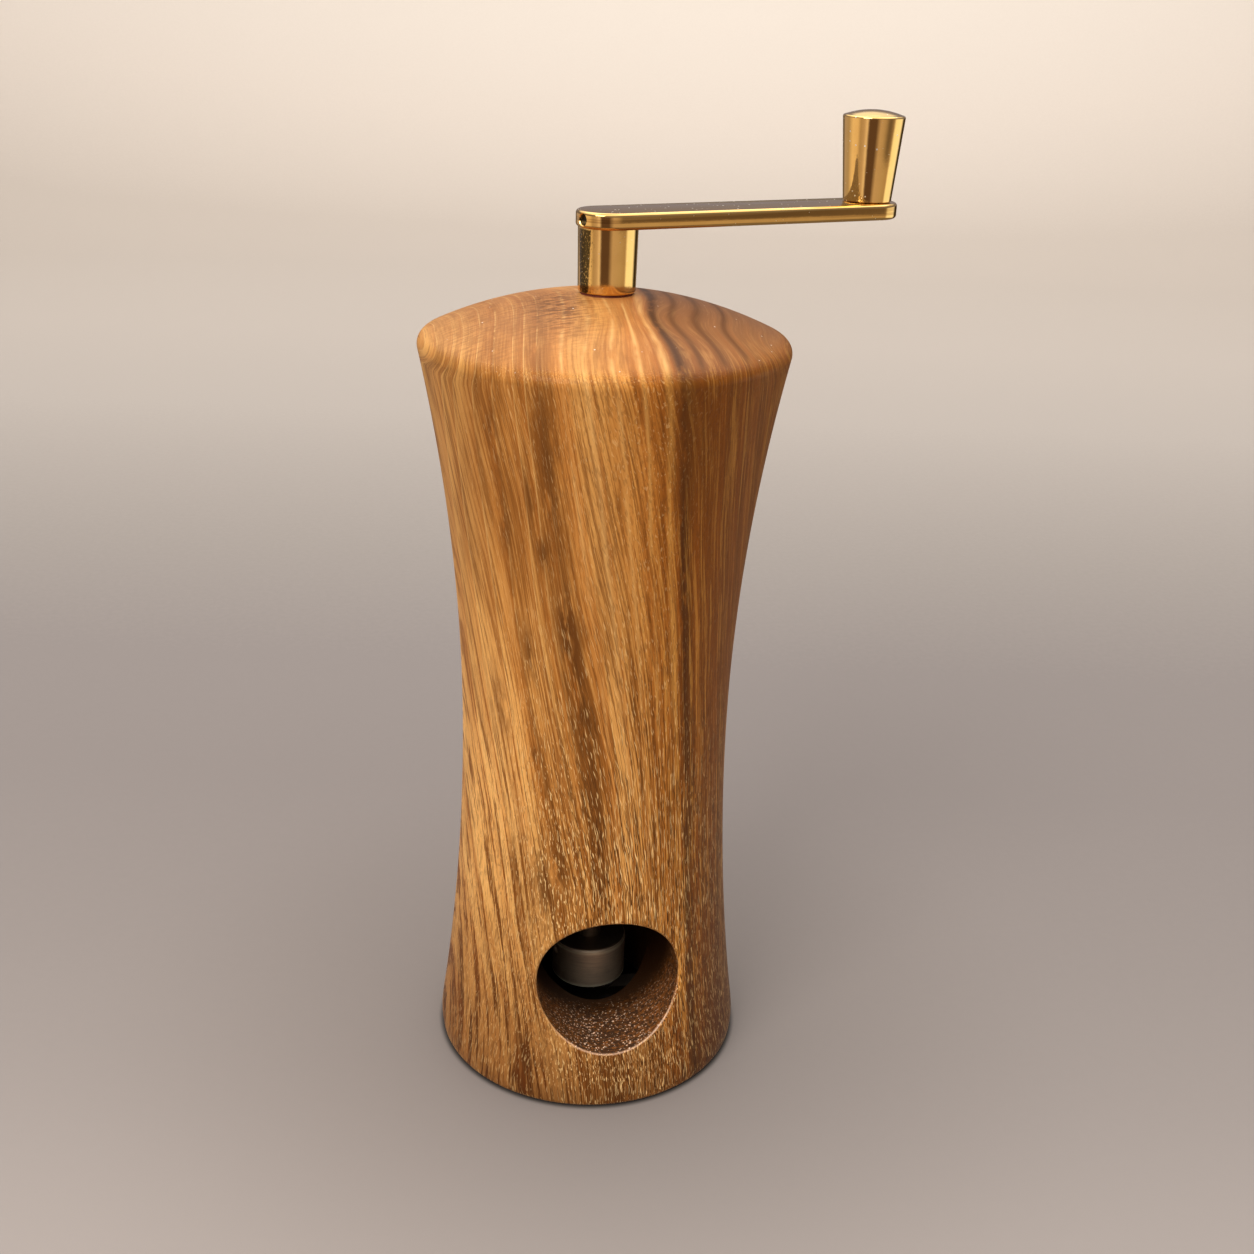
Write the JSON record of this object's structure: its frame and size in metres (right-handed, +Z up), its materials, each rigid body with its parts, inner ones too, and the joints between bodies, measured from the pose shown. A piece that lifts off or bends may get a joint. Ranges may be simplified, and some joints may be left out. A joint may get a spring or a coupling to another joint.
{
  "type": "nutmeg grinder",
  "caption": "Turned wooden nutmeg grinder with a side loading mouth, a blade plate underneath and a brass crank on a sprung shaft that lifts and turns.",
  "frame": {"origin": "centre of the foot, on the axis of the turned body", "axes": "+Z up along the shaft, -Y out of the side mouth"},
  "size_m": [0.0884, 0.065, 0.1793],
  "materials": {
    "wood": "oiled",
    "brass": "polished",
    "steel": "ground",
    "dull_steel": "dull, turned",
    "dark_steel": "blackened",
    "fibre": "vulcanised fibre"
  },
  "bodies": {
    "base": {"body": "wood", "top_bush": "brass", "hub_washer": "fibre", "guide_bush": "wood", "spring_top_washer": "steel", "spring": "steel", "blade_plate": "steel", "blade": "steel", "blade_rivets": "dark_steel", "plate_screws": "steel"},
    "lifter": {"spring_foot_washer": "steel"},
    "rotor": {"shaft_clip": "dark_steel", "shaft": "dull_steel", "crank": "brass", "crank_grub_screw": "dark_steel", "gripper": "dull_steel", "gripper_prongs": "steel", "gripper_pin": "steel"},
    "handle": {"knob": "brass", "knob_screw": "brass"}
  },
  "joints": [
    {"name": "crank_lift", "type": "slide", "parent": "base", "child": "lifter", "axis": [0, 0, 1], "range_m": [0, 0.03], "stiffness_N_per_m": 400, "springref_m": -0.012, "deforming": ["spring"]},
    {"name": "crank_turn", "type": "hinge", "parent": "lifter", "child": "rotor", "pos_m": [0, 0, 0.15], "axis": [0, 0, 1], "continuous": true},
    {"name": "knob_spin", "type": "hinge", "parent": "rotor", "child": "handle", "pos_m": [0.0503, 0.01538, 0.165], "axis": [0, 0, 1], "continuous": true}
  ]
}
